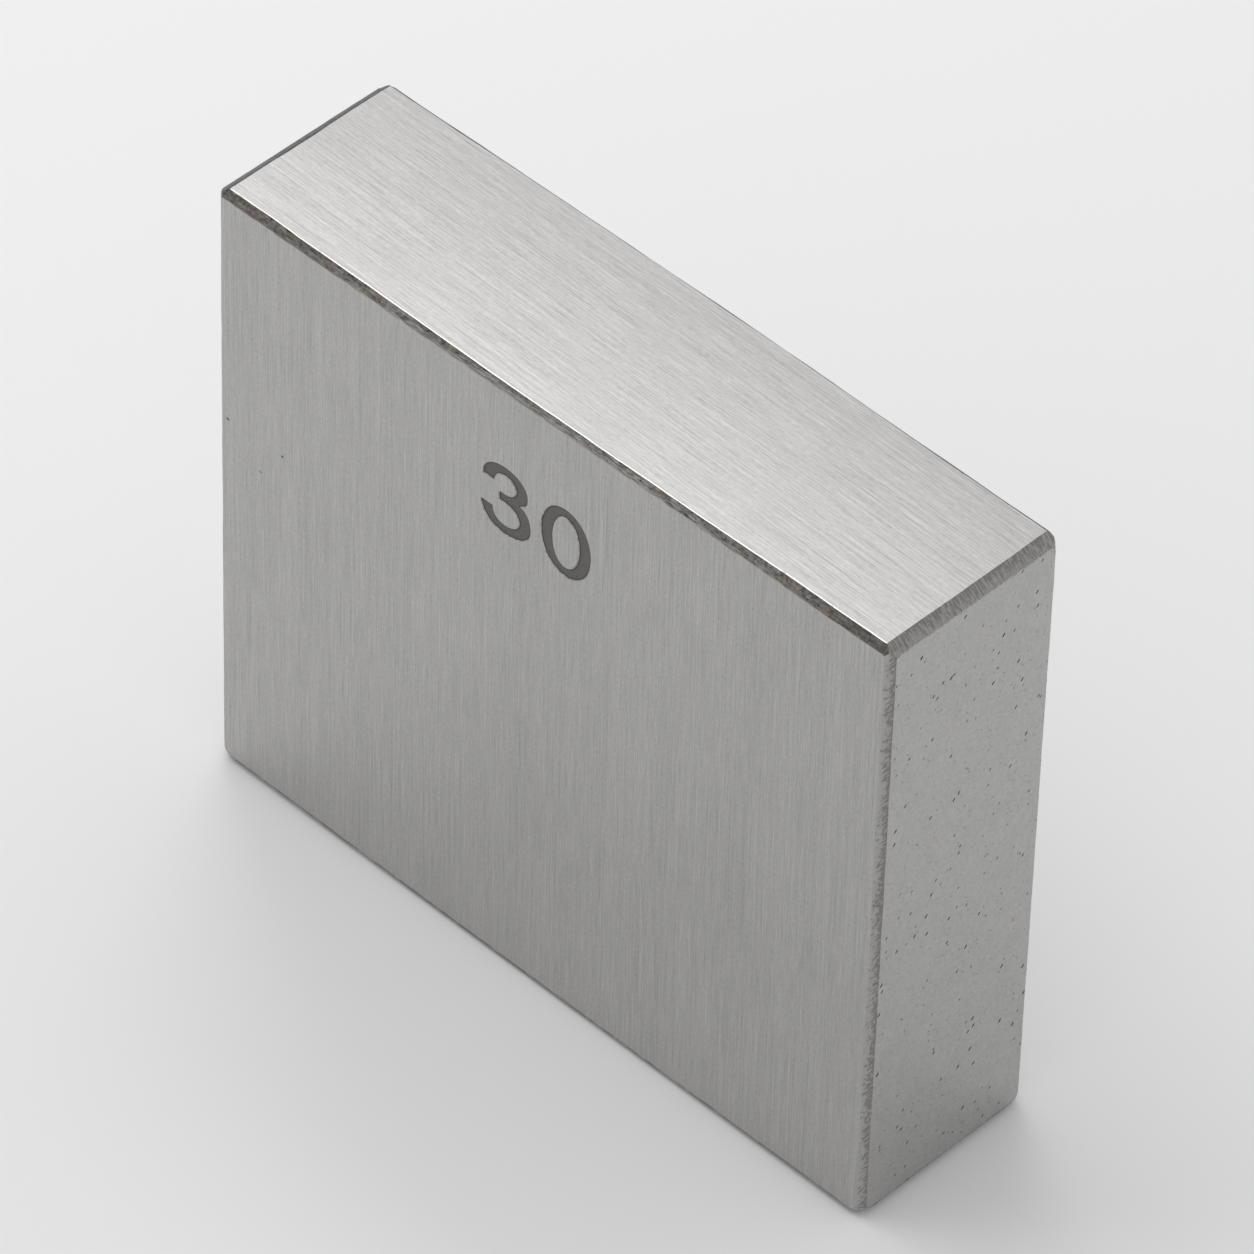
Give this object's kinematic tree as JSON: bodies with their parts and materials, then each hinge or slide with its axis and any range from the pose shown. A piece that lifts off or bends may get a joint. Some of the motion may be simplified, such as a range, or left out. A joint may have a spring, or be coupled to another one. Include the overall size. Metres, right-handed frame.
{
  "type": "gauge block",
  "caption": "Rectangular hardened steel block with two lapped parallel measuring faces a fixed length apart, ground sides and narrow stoned edges, used as a length standard.",
  "frame": {"origin": "centre of the lower measuring face", "axes": "+X along the long side of the measuring faces, +Y across them, from the marked wide side to the plain one, +Z along the measured length"},
  "size_m": [0.035, 0.009, 0.03],
  "materials": {
    "hardened_steel": "lapped measuring faces, ground satin sides, darker stoned edge breaks"
  },
  "bodies": {
    "root": {"gauge_block": "hardened_steel"}
  },
  "joints": []
}
